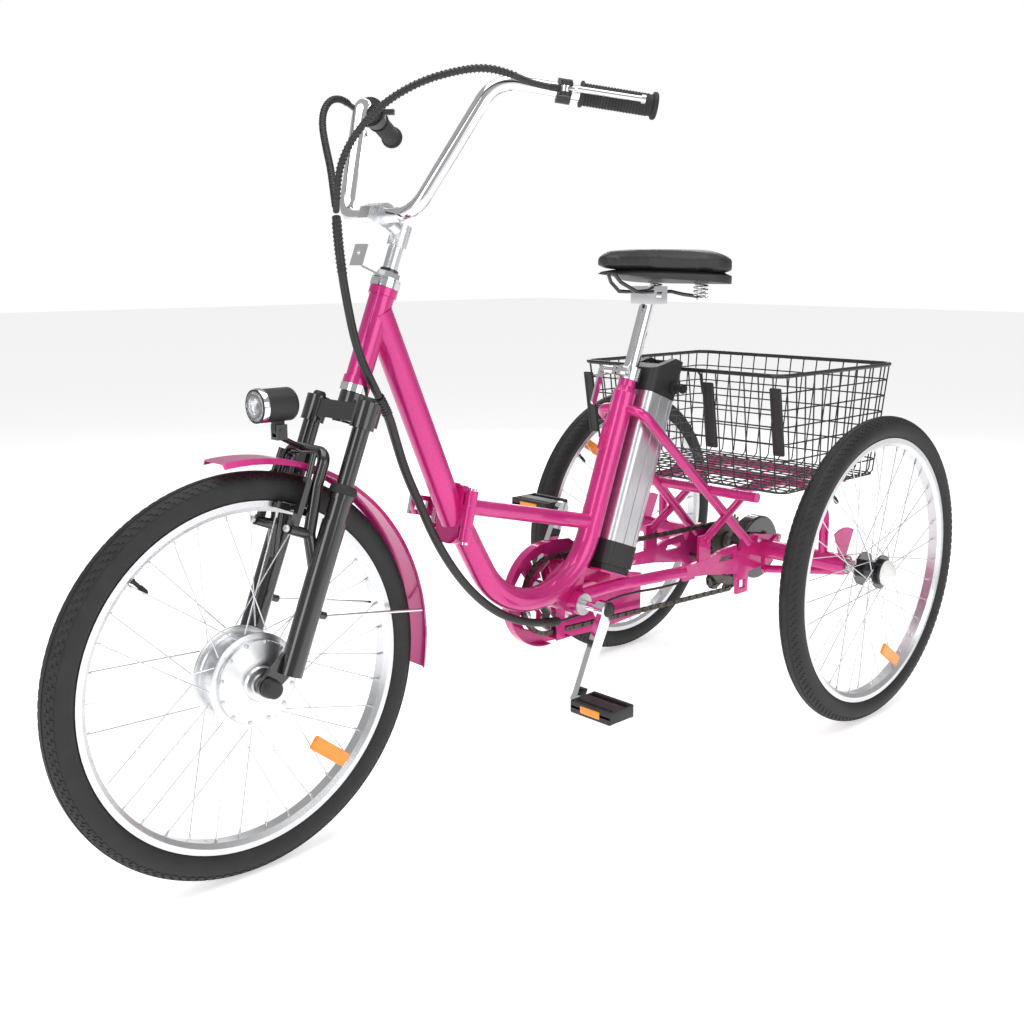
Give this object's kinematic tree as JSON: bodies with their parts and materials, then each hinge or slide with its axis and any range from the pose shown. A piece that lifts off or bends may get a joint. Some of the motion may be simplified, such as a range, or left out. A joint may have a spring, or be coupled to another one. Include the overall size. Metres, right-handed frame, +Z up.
{
  "type": "adult tricycle",
  "caption": "Folding adult tricycle with a front hub motor, suspension fork, rear basket, derailleur drive and a battery behind the seat tube.",
  "frame": {"origin": "on the ground, midway between the front axle and the rear axle, in the middle plane", "axes": "+X forward, +Y to the rider's left, +Z up"},
  "size_m": [1.8, 0.7244, 1.1516],
  "materials": {
    "frame_paint": "metallic pink gloss lacquer",
    "chrome": "polished chrome",
    "silver_alloy": "satin anodised",
    "zinc_steel": "zinc plated",
    "black_metal": "black gloss enamel",
    "black_plastic": "fine-grained",
    "black_coated_wire": "plastic-coated wire",
    "rubber": "matt",
    "tyre": "matt tread",
    "cable_jacket": "satin jacket",
    "saddle_cover": "grained vinyl",
    "lens_clear": "clear fluted"
  },
  "bodies": {
    "rear_frame": {"rear_frame": "frame_paint", "bottom_bracket": "zinc_steel", "seat_collar": "frame_paint", "chain_guard": "frame_paint", "basket": "black_coated_wire", "battery_dock": "black_plastic", "drive_chain": "zinc_steel", "brake_cover": "black_metal", "axle_bearings": "zinc_steel", "hinge_pin": "zinc_steel"},
    "front_frame": {"front_frame": "frame_paint", "headset_cups": "chrome", "cable_sleeve": "cable_jacket"},
    "fold_latch": {"fold_latch": "chrome"},
    "fork_upper": {"fork_crown": "black_metal", "headset_nut": "chrome", "head_leads": "cable_jacket"},
    "stem": {"stem": "chrome", "handlebar": "chrome", "left_grip": "rubber", "lever_mounts": "black_plastic", "bar_leads": "cable_jacket"},
    "left_brake_lever": {"left_brake_lever": "silver_alloy"},
    "right_brake_lever": {"right_brake_lever": "silver_alloy"},
    "shift_lever": {"shift_lever": "black_plastic"},
    "throttle": {"throttle_grip": "rubber"},
    "fork_lower": {"fork_lowers": "black_metal", "front_fender": "frame_paint", "fender_stays": "chrome", "front_axle": "zinc_steel"},
    "headlight": {"headlight_body": "black_plastic", "headlight_lens": "lens_clear"},
    "left_brake_arm": {"left_brake_arm": "black_metal"},
    "right_brake_arm": {"right_brake_arm": "black_metal"},
    "front_wheel": {"front_tyre": "tyre", "front_rim": "silver_alloy", "front_spokes": "zinc_steel", "hub_motor": "silver_alloy"},
    "axle": {"rear_axle": "zinc_steel", "right_tyre": "tyre", "right_rim": "silver_alloy", "right_spokes": "zinc_steel", "right_hub": "black_metal"},
    "left_wheel": {"left_tyre": "tyre", "left_rim": "silver_alloy", "left_spokes": "zinc_steel", "left_hub": "black_metal"},
    "freewheel": {"freewheel": "zinc_steel"},
    "crank": {"crankset": "chrome"},
    "left_pedal": {"left_pedal": "black_plastic"},
    "right_pedal": {"right_pedal": "black_plastic"},
    "derailleur": {"derailleur": "black_metal"},
    "guide_pulley": {"guide_pulley": "black_plastic"},
    "tension_pulley": {"tension_pulley": "black_plastic"},
    "battery": {"battery_case": "silver_alloy", "battery_caps": "black_plastic"},
    "battery_key": {"battery_key": "black_plastic"},
    "seat": {"seat_post": "chrome", "saddle": "saddle_cover"},
    "seat_lever": {"seat_lever": "chrome"}
  },
  "joints": [
    {"name": "frame_fold", "type": "hinge", "parent": "rear_frame", "child": "front_frame", "pos_m": [0.2014, 0.038, 0.483], "axis": [-0.2334, 0, 0.9724], "range_deg": [0, 125], "deforming": ["cable_sleeve"]},
    {"name": "fold_latch_lift", "type": "hinge", "parent": "rear_frame", "child": "fold_latch", "pos_m": [0.20723, -0.037, 0.4844], "axis": [0.2334, 0, -0.9724], "range_deg": [0, 75]},
    {"name": "steering", "type": "hinge", "parent": "front_frame", "child": "fork_upper", "pos_m": [0.36149, 0, 0.77534], "axis": [-0.373, 0, 0.9278], "range_deg": [-55, 55], "deforming": ["head_leads"]},
    {"name": "stem_height", "type": "slide", "parent": "fork_upper", "child": "stem", "axis": [-0.373, 0, 0.9278], "range_m": [0, 0.04], "deforming": ["bar_leads"]},
    {"name": "left_brake_lever_pull", "type": "hinge", "parent": "stem", "child": "left_brake_lever", "pos_m": [0.19032, 0.23672, 1.12149], "axis": [-0.1092, 0.0907, 0.9899], "range_deg": [0, 9.5], "stiffness_Nm_per_rad": 0.6, "springref_deg": -5.73},
    {"name": "right_brake_lever_pull", "type": "hinge", "parent": "stem", "child": "right_brake_lever", "pos_m": [0.19032, -0.23672, 1.12149], "axis": [0.1092, 0.0907, -0.9899], "range_deg": [0, 9.5], "stiffness_Nm_per_rad": 0.6, "springref_deg": -5.73},
    {"name": "gear_shift", "type": "hinge", "parent": "stem", "child": "shift_lever", "pos_m": [0.17499, -0.21825, 1.12149], "axis": [-0.7615, -0.6324, -0.142], "range_deg": [-30.2, 60.2]},
    {"name": "throttle_twist", "type": "hinge", "parent": "stem", "child": "throttle", "pos_m": [0.17499, -0.21825, 1.12149], "axis": [-0.7615, -0.6324, -0.142], "range_deg": [0, 60], "stiffness_Nm_per_rad": 0.15, "springref_deg": -17.19},
    {"name": "fork_travel", "type": "slide", "parent": "fork_upper", "child": "fork_lower", "axis": [-0.373, 0, 0.9278], "range_m": [0, 0.045], "stiffness_N_per_m": 6000, "springref_m": -0.05},
    {"name": "headlight_tilt", "type": "hinge", "parent": "fork_lower", "child": "headlight", "pos_m": [0.528, 0, 0.652], "axis": [0, 1, 0], "range_deg": [-15, 30]},
    {"name": "left_brake_arm_close", "type": "hinge", "parent": "fork_lower", "child": "left_brake_arm", "pos_m": [0.53946, 0.044, 0.51493], "axis": [0.9278, 0, 0.373], "range_deg": [0, 4]},
    {"name": "right_brake_arm_close", "type": "hinge", "parent": "fork_lower", "child": "right_brake_arm", "pos_m": [0.53946, -0.044, 0.51493], "axis": [-0.9278, 0, -0.373], "range_deg": [0, 4]},
    {"name": "front_wheel_spin", "type": "hinge", "parent": "fork_lower", "child": "front_wheel", "pos_m": [0.6, 0, 0.3], "axis": [0, 1, 0], "continuous": true},
    {"name": "axle_spin", "type": "hinge", "parent": "rear_frame", "child": "axle", "pos_m": [-0.6, 0, 0.3], "axis": [0, 1, 0], "continuous": true},
    {"name": "left_wheel_spin", "type": "hinge", "parent": "rear_frame", "child": "left_wheel", "pos_m": [-0.6, 0, 0.3], "axis": [0, 1, 0], "continuous": true},
    {"name": "crank_spin", "type": "hinge", "parent": "rear_frame", "child": "crank", "pos_m": [-0.078, 0, 0.278], "axis": [0, 1, 0], "continuous": true, "deforming": ["drive_chain"]},
    {"name": "freewheel_spin", "type": "hinge", "parent": "rear_frame", "child": "freewheel", "pos_m": [-0.6, 0, 0.3], "axis": [0, 1, 0], "continuous": true},
    {"name": "left_pedal_spin", "type": "hinge", "parent": "crank", "child": "left_pedal", "pos_m": [-0.00671, 0, 0.1292], "axis": [0, 1, 0], "continuous": true},
    {"name": "right_pedal_spin", "type": "hinge", "parent": "crank", "child": "right_pedal", "pos_m": [-0.14929, 0, 0.4268], "axis": [0, 1, 0], "continuous": true},
    {"name": "derailleur_shift", "type": "slide", "parent": "rear_frame", "child": "derailleur", "axis": [0, 1, 0], "range_m": [-0.01, 0.02], "deforming": ["drive_chain"]},
    {"name": "guide_pulley_spin", "type": "hinge", "parent": "derailleur", "child": "guide_pulley", "pos_m": [-0.586, -0.048, 0.216], "axis": [0, 1, 0], "continuous": true},
    {"name": "tension_pulley_spin", "type": "hinge", "parent": "derailleur", "child": "tension_pulley", "pos_m": [-0.636, -0.048, 0.202], "axis": [0, 1, 0], "continuous": true},
    {"name": "battery_slide", "type": "slide", "parent": "rear_frame", "child": "battery", "axis": [-0.3453, 0, 0.9385], "range_m": [0, 0.06]},
    {"name": "battery_key_turn", "type": "hinge", "parent": "battery", "child": "battery_key", "pos_m": [-0.31804, 0, 0.65275], "axis": [0, 1, 0], "range_deg": [0, 90]},
    {"name": "seat_height", "type": "slide", "parent": "rear_frame", "child": "seat", "axis": [-0.3453, 0, 0.9385], "range_m": [-0.05, 0.08]},
    {"name": "seat_lever_open", "type": "hinge", "parent": "rear_frame", "child": "seat_lever", "pos_m": [-0.20465, -0.036, 0.69063], "axis": [-0.9385, 0, -0.3453], "range_deg": [0, 110]}
  ],
  "couplings": [
    {"joint": "freewheel_spin", "follows": "crank_spin", "ratio": 2},
    {"joint": "guide_pulley_spin", "follows": "crank_spin", "ratio": -3.6},
    {"joint": "tension_pulley_spin", "follows": "crank_spin", "ratio": 3.6},
    {"joint": "gear_shift", "follows": "derailleur_shift", "rad_per_m": 52.3},
    {"joint": "left_brake_arm_close", "follows": "left_brake_lever_pull", "ratio": 0.37},
    {"joint": "right_brake_arm_close", "follows": "left_brake_lever_pull", "ratio": 0.37}
  ]
}
